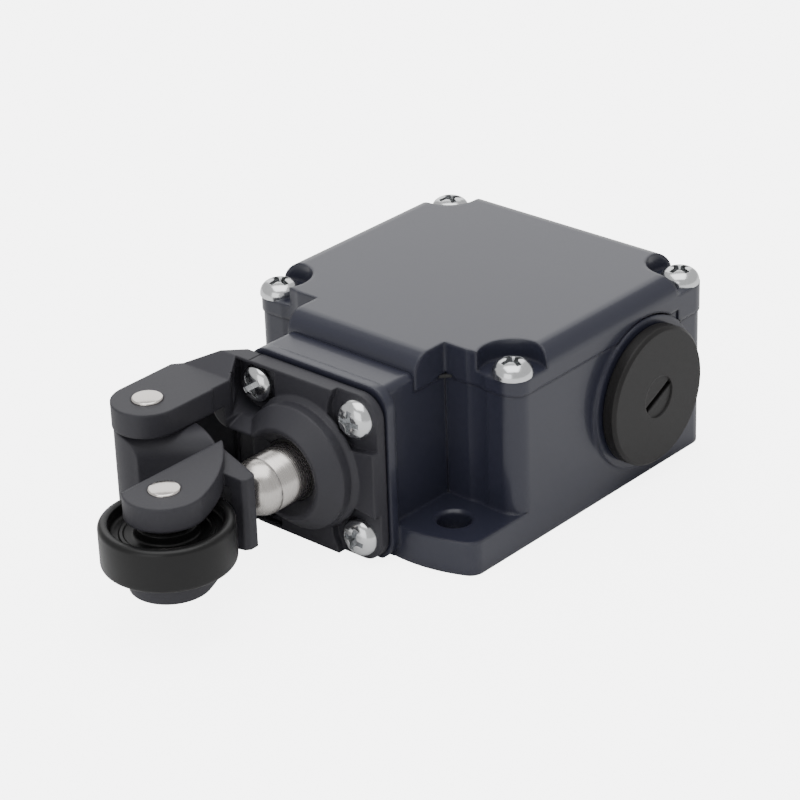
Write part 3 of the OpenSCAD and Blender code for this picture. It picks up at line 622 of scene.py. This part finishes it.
def seat_on_seeds(tree, inlet, geometry, twist=None):
    """Instances a +Z shape on the seed points along their axes, twisted if asked."""
    axis = node(tree, "GeometryNodeInputNamedAttribute", data_type="FLOAT_VECTOR")
    axis.inputs["Name"].default_value = "axis"
    stand = node(tree, "FunctionNodeAlignRotationToVector", axis="Z")
    wire(tree, axis.outputs["Attribute"], stand.inputs["Vector"])
    rotation = stand.outputs[0]
    if twist is not None:
        turn = node(tree, "FunctionNodeRotateRotation", rotation_space="LOCAL")
        wire(tree, rotation, turn.inputs["Rotation"])
        wire(tree, twist, turn.inputs["Rotate By"])
        rotation = turn.outputs[0]
    seat = node(tree, "GeometryNodeInstanceOnPoints")
    wire(tree, inlet.outputs["Geometry"], seat.inputs["Points"])
    wire(tree, geometry, seat.inputs["Instance"])
    wire(tree, rotation, seat.inputs["Rotation"])
    return seat.outputs[0]


def swollen_dome(tree, inlet):
    """Ball swollen towards a squarer outline, its underside nearly flat."""
    flattening = 0.85
    ball = node(tree, "GeometryNodeMeshUVSphere")
    ball.inputs["Segments"].default_value = 56
    ball.inputs["Rings"].default_value = 34
    ball.inputs["Radius"].default_value = 1.0
    position = node(tree, "GeometryNodeInputPosition")
    split = node(tree, "ShaderNodeSeparateXYZ")
    wire(tree, position.outputs[0], split.inputs[0])
    x, y, z = split.outputs
    x_squared = math_node(tree, "MULTIPLY", x, x)
    y_squared = math_node(tree, "MULTIPLY", y, y)
    across = math_node(tree, "SQRT", math_node(tree, "ADD", x_squared, y_squared))
    power = inlet.outputs["Fullness"]
    flat_part = math_node(tree, "POWER", across, power)
    tall_part = math_node(tree, "POWER", math_node(tree, "ABSOLUTE", z), power)
    total = math_node(tree, "ADD", flat_part, tall_part)
    root = math_node(tree, "POWER", total, math_node(tree, "DIVIDE", 1.0, power))
    swell = math_node(tree, "DIVIDE", 1.0, root)
    wide = math_node(tree, "MULTIPLY", swell, inlet.outputs["Head Radius"])
    tall = math_node(tree, "MULTIPLY", swell, inlet.outputs["Head Height"])
    below = math_node(tree, "LESS_THAN", z, 0.0)
    flat = math_node(tree, "SUBTRACT", 1.0, math_node(tree, "MULTIPLY", below, flattening))
    join = node(tree, "ShaderNodeCombineXYZ")
    wire(tree, math_node(tree, "MULTIPLY", x, wide), join.inputs[0])
    wire(tree, math_node(tree, "MULTIPLY", y, wide), join.inputs[1])
    height = math_node(tree, "MULTIPLY", tall, flat)
    wire(tree, math_node(tree, "MULTIPLY", z, height), join.inputs[2])
    move = node(tree, "GeometryNodeSetPosition")
    wire(tree, ball.outputs["Mesh"], move.inputs["Geometry"])
    wire(tree, join.outputs[0], move.inputs["Position"])
    return move.outputs[0]


def recess_cutters(tree, inlet):
    """Two crossed wings and a tapered core, each with the height of its centre."""
    top = inlet.outputs["Head Height"]
    depth = inlet.outputs["Recess Depth"]
    width = inlet.outputs["Recess Width"]
    cutters = []
    for long, short in (("Recess Length", "Recess Width"), ("Recess Width", "Recess Length")):
        sides = node(tree, "ShaderNodeCombineXYZ")
        wire(tree, inlet.outputs[long], sides.inputs[0])
        wire(tree, inlet.outputs[short], sides.inputs[1])
        wire(tree, math_node(tree, "MULTIPLY", depth, 2.0), sides.inputs[2])
        wing = node(tree, "GeometryNodeMeshCube")
        wire(tree, sides.outputs[0], wing.inputs["Size"])
        cutters.append((wing, top))
    # radii of the core in wing widths, and its height in recess depths
    core_bottom, core_top, core_height = 0.5, 1.25, 1.3
    core = node(tree, "GeometryNodeMeshCone")
    core.inputs["Vertices"].default_value = 20
    wire(tree, math_node(tree, "MULTIPLY", width, core_bottom), core.inputs["Radius Bottom"])
    wire(tree, math_node(tree, "MULTIPLY", width, core_top), core.inputs["Radius Top"])
    wire(tree, math_node(tree, "MULTIPLY", depth, core_height), core.inputs["Depth"])
    cutters.append((core, math_node(tree, "SUBTRACT", top, depth)))
    return cutters


def pan_head_tree():
    """Pan heads with a cross recess, one on each seed point, turned at random."""
    name = "Pan heads"
    if name in bpy.data.node_groups:
        return bpy.data.node_groups[name]
    size = "NodeSocketFloat"
    tree, inlet, outlet = start_tree(name, [
        ("Head Radius", size, 3.35 * MM), ("Head Height", size, 2.5 * MM),
        ("Fullness", size, 2.4), ("Recess Length", size, 3.9 * MM),
        ("Recess Width", size, 0.9 * MM), ("Recess Depth", size, 1.7 * MM),
        ("Shank Radius", size, 1.6 * MM), ("Seed", "NodeSocketInt", 1),
    ])
    dome = swollen_dome(tree, inlet)
    for shape, level in recess_cutters(tree, inlet):
        lift = node(tree, "ShaderNodeCombineXYZ")
        wire(tree, level, lift.inputs[2])
        place = node(tree, "GeometryNodeTransform")
        wire(tree, shape.outputs["Mesh"], place.inputs["Geometry"])
        wire(tree, lift.outputs[0], place.inputs["Translation"])
        cut = node(tree, "GeometryNodeMeshBoolean", operation="DIFFERENCE", solver="EXACT")
        wire(tree, dome, cut.inputs["Mesh 1"])
        wire(tree, place.outputs[0], cut.inputs["Mesh 2"])
        dome = cut.outputs["Mesh"]
    shank_length, shank_middle = 3 * MM, -1.6 * MM
    shank = node(tree, "GeometryNodeMeshCylinder")
    shank.inputs["Vertices"].default_value = 24
    shank.inputs["Depth"].default_value = shank_length
    wire(tree, inlet.outputs["Shank Radius"], shank.inputs["Radius"])
    lower = node(tree, "GeometryNodeTransform")
    lower.inputs["Translation"].default_value = (0, 0, shank_middle)
    wire(tree, shank.outputs["Mesh"], lower.inputs["Geometry"])
    whole = node(tree, "GeometryNodeJoinGeometry")
    wire(tree, dome, whole.inputs[0])
    wire(tree, lower.outputs[0], whole.inputs[0])
    # inputs 2 and 3 are the limits of the float kind, output 1 its value
    chance = node(tree, "FunctionNodeRandomValue", data_type="FLOAT")
    chance.inputs[2].default_value = 0.0
    chance.inputs[3].default_value = math.pi / 2
    wire(tree, inlet.outputs["Seed"], chance.inputs["Seed"])
    twist = node(tree, "FunctionNodeAxisAngleToRotation")
    wire(tree, chance.outputs[1], twist.inputs["Angle"])
    heads = seat_on_seeds(tree, inlet, whole.outputs[0], twist.outputs[0])
    close_tree(tree, inlet, outlet, heads)
    return tree


def helix_tree():
    """Wire wound in a helix on each seed point; few sides make it a ridge."""
    name = "Wound helix"
    if name in bpy.data.node_groups:
        return bpy.data.node_groups[name]
    size = "NodeSocketFloat"
    tree, inlet, outlet = start_tree(name, [
        ("Coil Radius", size, 5 * MM), ("Height", size, 8 * MM), ("Turns", size, 5.0),
        ("Wire Radius", size, 0.4 * MM), ("Sides", "NodeSocketInt", 10),
    ])
    coil = node(tree, "GeometryNodeCurveSpiral")
    coil.inputs["Resolution"].default_value = 48
    wire(tree, inlet.outputs["Turns"], coil.inputs["Rotations"])
    for end in ("Start Radius", "End Radius"):
        wire(tree, inlet.outputs["Coil Radius"], coil.inputs[end])
    wire(tree, inlet.outputs["Height"], coil.inputs["Height"])
    ring = node(tree, "GeometryNodeCurvePrimitiveCircle")
    wire(tree, inlet.outputs["Sides"], ring.inputs["Resolution"])
    wire(tree, inlet.outputs["Wire Radius"], ring.inputs["Radius"])
    tube = node(tree, "GeometryNodeCurveToMesh")
    tube.inputs["Fill Caps"].default_value = True
    wire(tree, coil.outputs[0], tube.inputs["Curve"])
    wire(tree, ring.outputs[0], tube.inputs["Profile Curve"])
    close_tree(tree, inlet, outlet, seat_on_seeds(tree, inlet, tube.outputs[0]), crease=0.9)
    return tree


# ---------- operators: one for each part or group of like parts ----------


class SWITCH_OT_case(bpy.types.Operator):
    """Coats the housing and the cover, and dresses the gasket between them"""

    bl_idname = "switch.case"
    bl_label = "Housing and cover"

    def execute(self, context):
        paint("housing", case_coat())
        paint("cover", case_coat())
        paint("cover_gasket", rubber())
        return {"FINISHED"}


class SWITCH_OT_head(bpy.types.Operator):
    """Coats the head with its bracket, and dresses bush, wiper and gasket"""

    bl_idname = "switch.head"
    bl_label = "Head"

    def execute(self, context):
        paint("head", head_coat())
        paint("head_gasket", rubber())
        paint("guide_bush", bronze())
        paint("wiper_seal", rubber())
        return {"FINISHED"}


class SWITCH_OT_lever(bpy.types.Operator):
    """Coats the lever"""

    bl_idname = "switch.lever"
    bl_label = "Lever"

    def execute(self, context):
        paint("lever", head_coat())
        return {"FINISHED"}


class SWITCH_OT_pins(bpy.types.Operator):
    """Lever pin and roller pin with crowned ends"""

    bl_idname = "switch.pins"
    bl_label = "Pins"

    def execute(self, context):
        crown = context.scene.switch_turned.pin_crown
        fillet = 0.32 * MM
        for name, part, body in (("lever_pin_turned", "lever_pin", "body"),
                                 ("roller_pin_turned", "roller_pin", "lever_arm")):
            low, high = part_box(part)
            centre = middle(part)
            radius = (high[0] - low[0]) / 2
            top = high[2]
            # fillet, then a crown that rises in steps to the middle
            upper = arc((radius - fillet, top - crown - fillet), fillet, 0, 78, 6)
            upper += [(radius * 0.55, top - crown * 0.35), (radius * 0.25, top - crown * 0.07)]
            upper.append((0, top))
            lower = [(r, low[2] + top - z) for r, z in reversed(upper)]
            mesh = lathe(name, lower + upper, Matrix.Translation((centre[0], centre[1], 0)))
            made = make_object(name, mesh, nickel_plate())
            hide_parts(part)
            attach(made, body)
        return {"FINISHED"}


class SWITCH_OT_roller(bpy.types.Operator):
    """Roller with a rounded rim, dished sides and a raised hub"""

    bl_idname = "switch.roller"
    bl_label = "Roller"

    def execute(self, context):
        rim_round = context.scene.switch_turned.rim_round
        low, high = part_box("roller")
        centre = middle("roller")
        outer = (high[0] - low[0]) / 2
        half = (high[2] - low[2]) / 2
        inner, hub, bore = 8.9 * MM, 4.9 * MM, 2.6 * MM
        web, hub_half = 1.5 * MM, 3.3 * MM
        hub_edge, hub_fillet, rim_fillet = 0.3 * MM, 0.5 * MM, 0.6 * MM
        ridge_start, ridge_end = 6.6 * MM, 7.5 * MM
        ridge_slope, ridge_height = 0.2 * MM, 0.22 * MM
        rim_edge, edge_step = 0.35 * MM, 0.1 * MM
        # bore and hub down to the web
        upper = [(bore, hub_half), (hub - hub_edge, hub_half)]
        upper += [(hub, hub_half - hub_edge), (hub, web + hub_fillet)]
        upper += arc((hub + hub_fillet, web + hub_fillet), hub_fillet, 180, 270, 5)[1:]
        # low ridge on the web
        upper += [(ridge_start, web), (ridge_start + ridge_slope, web + ridge_height)]
        upper += [(ridge_end - ridge_slope, web + ridge_height), (ridge_end, web)]
        # up the inside of the rim and round its outer edge
        upper += arc((inner - rim_fillet, web + rim_fillet), rim_fillet, 270, 360, 5)
        upper += [(inner, half - rim_edge), (inner + edge_step, half - edge_step)]
        upper.append((inner + rim_edge, half))
        upper += arc((outer - rim_round, half - rim_round), rim_round, 90, 0, 8)
        lower = [(r, -z) for r, z in reversed(upper)]
        mesh = lathe("roller_moulded", upper + lower, Matrix.Translation(centre), steps=128)
        made = make_object("roller_moulded", mesh, roller_plastic())
        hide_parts("roller")
        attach(made, "roller")
        return {"FINISHED"}


class SWITCH_OT_plunger(bpy.types.Operator):
    """Turned plunger with its ball end, collar and stem"""

    bl_idname = "switch.plunger"
    bl_label = "Plunger"

    def execute(self, context):
        low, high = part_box("plunger")
        axis = middle("plunger")
        radius, stem = 4.75 * MM, 2.4 * MM
        collar = (high[0] - low[0]) / 2
        tip, end = low[1], high[1]
        ball = tip + radius
        collar_front, collar_back = -9.55 * MM, -8.05 * MM
        edge, groove_depth = 0.2 * MM, 0.06 * MM
        groove_top, groove_floor, groove_end = 0.02 * MM, 0.1 * MM, 0.2 * MM
        # heights run along -Y, so a place on Y changes its sign
        profile = arc((0, -ball), radius, 90, 4, 26)
        profile[0] = (0, -tip)
        # fine groove where the ball end meets the shaft
        profile += [(radius - groove_depth, -ball - groove_top)]
        profile += [(radius - groove_depth, -ball - groove_floor)]
        profile += [(radius, -ball - groove_end), (radius, -collar_front)]
        profile += [(collar - edge, -collar_front), (collar, -collar_front - edge)]
        profile += [(collar, -collar_back), (stem, -collar_back)]
        profile += [(stem, -end + edge), (stem - edge, -end), (0, -end)]
        mesh = lathe("plunger_turned", profile, towards_lever(axis[0], axis[2]), steps=112)
        made = make_object("plunger_turned", mesh, turned_steel())
        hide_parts("plunger")
        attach(made, "plunger")
        return {"FINISHED"}


class SWITCH_OT_screws(bpy.types.Operator):
    """Pan-head screws of the cover and the head"""

    bl_idname = "switch.screws"
    bl_label = "Cover and head screws"

    def execute(self, context):
        shape = context.scene.switch_screws
        values = {
            "Head Radius": shape.head_radius, "Head Height": shape.head_height,
            "Fullness": shape.fullness, "Recess Length": shape.recess_length,
            "Recess Width": shape.recess_width, "Recess Depth": shape.recess_depth,
        }
        radius = shape.head_radius
        low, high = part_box("cover_screws")
        seat = high[2] - CAD_HEAD_HEIGHT
        tops = [(Vector((x, y, seat)), (0, 0, 1))
                for x in (low[0] + radius, high[0] - radius)
                for y in (low[1] + radius, high[1] - radius)]
        low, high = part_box("head_screws")
        face = low[1] + CAD_HEAD_HEIGHT
        fronts = [(Vector((x, face, z)), (0, -1, 0))
                  for x in (low[0] + radius, high[0] - radius)
                  for z in (low[2] + radius, high[2] - radius)]
        for name, part, seeds, seed in (("cover_screw_heads", "cover_screws", tops, shape.seed),
                                        ("head_screw_heads", "head_screws", fronts, shape.seed + 8)):
            made = grow(name, seeds, pan_head_tree(), dict(values, Seed=seed), zinc_plate())
            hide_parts(part)
            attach(made, "body")
        return {"FINISHED"}


class SWITCH_OT_entries(bpy.types.Operator):
    """Plugs and washers of the side entries and the thread of the open rear entry"""

    bl_idname = "switch.entries"
    bl_label = "Cable entries"

    def execute(self, context):
        paint("entry_plugs", plug_plastic())
        paint("plug_washers", rubber())
        pitch = context.scene.switch_turned.thread_pitch
        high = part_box("housing")[1]
        radius, length, lead_in = 9.42 * MM, 6.8 * MM, 0.9 * MM
        ridge_share = 0.42
        start = Vector((0, high[1] - length - lead_in, ENTRY_HEIGHT))
        values = {"Coil Radius": radius, "Height": length, "Turns": length / pitch,
                  "Wire Radius": pitch * ridge_share, "Sides": 4}
        made = grow("entry_thread", [(start, (0, 1, 0))], helix_tree(), values, case_coat())
        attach(made, "body")
        return {"FINISHED"}


class SWITCH_OT_spring(bpy.types.Operator):
    """Return spring wound as a helix"""

    bl_idname = "switch.spring"
    bl_label = "Return spring"

    def execute(self, context):
        low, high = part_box("return_spring")
        centre = middle("return_spring")
        turns = context.scene.switch_turned.spring_turns
        wire_radius = 0.45 * MM
        length = high[1] - low[1] - 2 * wire_radius
        values = {"Coil Radius": (high[0] - low[0]) / 2 - wire_radius, "Height": length,
                  "Turns": float(turns), "Wire Radius": wire_radius, "Sides": 12}
        start = Vector((centre[0], low[1] + wire_radius, centre[2]))
        made = grow("return_spring_wound", [(start, (0, 1, 0))], helix_tree(), values, turned_steel())
        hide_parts("return_spring")
        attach(made, "body")
        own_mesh(made)
        return {"FINISHED"}


class SWITCH_OT_contacts(bpy.types.Operator):
    """Finishes of the contact block inside the housing"""

    bl_idname = "switch.contacts"
    bl_label = "Contact block"

    def execute(self, context):
        paint("contact_base", red_moulding())
        for name in ("contact_slide", "contact_lid"):
            paint(name, pale_moulding())
        for name in ("nc_bridge", "no_bridge", "fixed_contacts", "earth_screw"):
            paint(name, brass())
        for name in ("terminal_screws", "clamp_plates", "block_screws"):
            paint(name, zinc_plate())
        paint("contact_springs", turned_steel())
        return {"FINISHED"}


class SWITCH_OT_stage(bpy.types.Operator):
    """Pale floor, soft lights and the camera"""

    bl_idname = "switch.stage"
    bl_label = "Stage"

    def execute(self, context):
        stage = context.scene.switch_stage
        self.lay_floor(stage)
        self.light_room(context, stage)
        self.aim_camera(context, stage)
        return {"FINISHED"}

    def lay_floor(self, stage):
        """Square of matt paper just under the part, brighter for the camera alone."""
        mesh = bpy.data.meshes.new("floor")
        reach, gap = 1.6, 0.05 * MM
        corners = [(x * reach, y * reach, 0) for x, y in ((-1, -1), (1, -1), (1, 1), (-1, 1))]
        mesh.from_pydata(corners, [], [(0, 1, 2, 3)])
        material = bpy.data.materials.new("floor_paper")
        material.use_nodes = True
        shader = material.node_tree.nodes["Principled BSDF"]
        shader.inputs["Base Color"].default_value = (*stage.floor_colour, 1)
        shader.inputs["Roughness"].default_value = 0.9
        shader.inputs["Specular IOR Level"].default_value = 0.1
        shader.inputs["Emission Color"].default_value = (1, 1, 1, 1)
        tree = material.node_tree
        path = node(tree, "ShaderNodeLightPath")
        glow = math_node(tree, "MULTIPLY", path.outputs["Is Camera Ray"], stage.floor_glow)
        wire(tree, glow, shader.inputs["Emission Strength"])
        floor = make_object("floor", mesh, material)
        floor.location.z = CAD_BOX[0][2] - gap

    def light_room(self, context, stage):
        """Even pale room with three softboxes aimed at the origin."""
        world = bpy.data.worlds.new("room")
        world.use_nodes = True
        background = world.node_tree.nodes["Background"]
        background.inputs["Color"].default_value = (1, 1, 1, 1)
        background.inputs["Strength"].default_value = stage.world_light
        context.scene.world = world
        for name, place, size, power in (
            ("overhead_softbox", (0.05, -0.05, 1.0), 1.0, stage.key_power),
            ("back_softbox", (-0.85, 0.95, 0.6), 1.2, stage.back_power),
            ("front_softbox", (0.25, -1.0, 0.35), 0.8, stage.front_power),
        ):
            light = bpy.data.lights.new(name, "AREA")
            light.size = size
            light.energy = power
            lamp = bpy.data.objects.new(name, light)
            lamp.location = place
            lamp.rotation_euler = (-Vector(place)).to_track_quat("-Z", "Y").to_euler()
            context.scene.collection.objects.link(lamp)

    def aim_camera(self, context, stage):
        """Camera at the stage's angles and distance, aimed at the point target."""
        az, el, roll = stage.azimuth, stage.elevation, stage.roll
        back = Vector((math.sin(az) * math.cos(el), -math.cos(az) * math.cos(el), math.sin(el)))
        level = Vector((math.cos(az), math.sin(az), 0))
        rise = back.cross(level)
        right = math.cos(roll) * level + math.sin(roll) * rise
        up = -math.sin(roll) * level + math.cos(roll) * rise
        target = Vector((0, 10.26 * MM, 16.78 * MM))
        data = bpy.data.cameras.new("camera")
        data.sensor_width = 36
        data.lens = stage.lens
        data.clip_start = 0.01
        data.clip_end = 20
        camera = bpy.data.objects.new("camera", data)
        turn = Matrix((right, up, back)).transposed().to_4x4()
        camera.matrix_world = Matrix.Translation(target + back * stage.distance) @ turn
        context.scene.collection.objects.link(camera)
        context.scene.camera = camera


class SWITCH_PT_panel(bpy.types.Panel):
    """Lists the operators and settings in the sidebar"""

    bl_idname = "SWITCH_PT_panel"
    bl_label = "Roller lever switch"
    bl_space_type = "VIEW_3D"
    bl_region_type = "UI"
    bl_category = "Switch"

    def draw(self, context):
        for group in (context.scene.switch_finish, context.scene.switch_screws,
                      context.scene.switch_turned, context.scene.switch_stage):
            box = self.layout.box()
            for name in group.bl_rna.properties.keys():
                if name not in ("rna_type", "name"):
                    box.prop(group, name)
        for operator in OPERATORS:
            self.layout.operator(operator.bl_idname)


OPERATORS = (
    SWITCH_OT_case,
    SWITCH_OT_head,
    SWITCH_OT_lever,
    SWITCH_OT_pins,
    SWITCH_OT_roller,
    SWITCH_OT_plunger,
    SWITCH_OT_screws,
    SWITCH_OT_entries,
    SWITCH_OT_spring,
    SWITCH_OT_contacts,
    SWITCH_OT_stage,
)
SETTINGS = {
    "switch_finish": FinishSettings,
    "switch_screws": ScrewSettings,
    "switch_turned": TurnedSettings,
    "switch_stage": StageSettings,
}


def register():
    """Registers settings, operators and panel."""
    for name, kind in SETTINGS.items():
        bpy.utils.register_class(kind)
        setattr(bpy.types.Scene, name, PointerProperty(type=kind))
    for kind in (*OPERATORS, SWITCH_PT_panel):
        bpy.utils.register_class(kind)


def unregister():
    """Removes settings, operators and panel."""
    for kind in reversed((*OPERATORS, SWITCH_PT_panel)):
        bpy.utils.unregister_class(kind)
    for name, kind in SETTINGS.items():
        delattr(bpy.types.Scene, name)
        bpy.utils.unregister_class(kind)


def main():
    register()
    for operator in OPERATORS:
        group, name = operator.bl_idname.split(".")
        result = getattr(getattr(bpy.ops, group), name)()
        if result != {"FINISHED"}:
            raise RuntimeError(operator.bl_label + " wasn't finished")


if __name__ == "__main__":
    main()
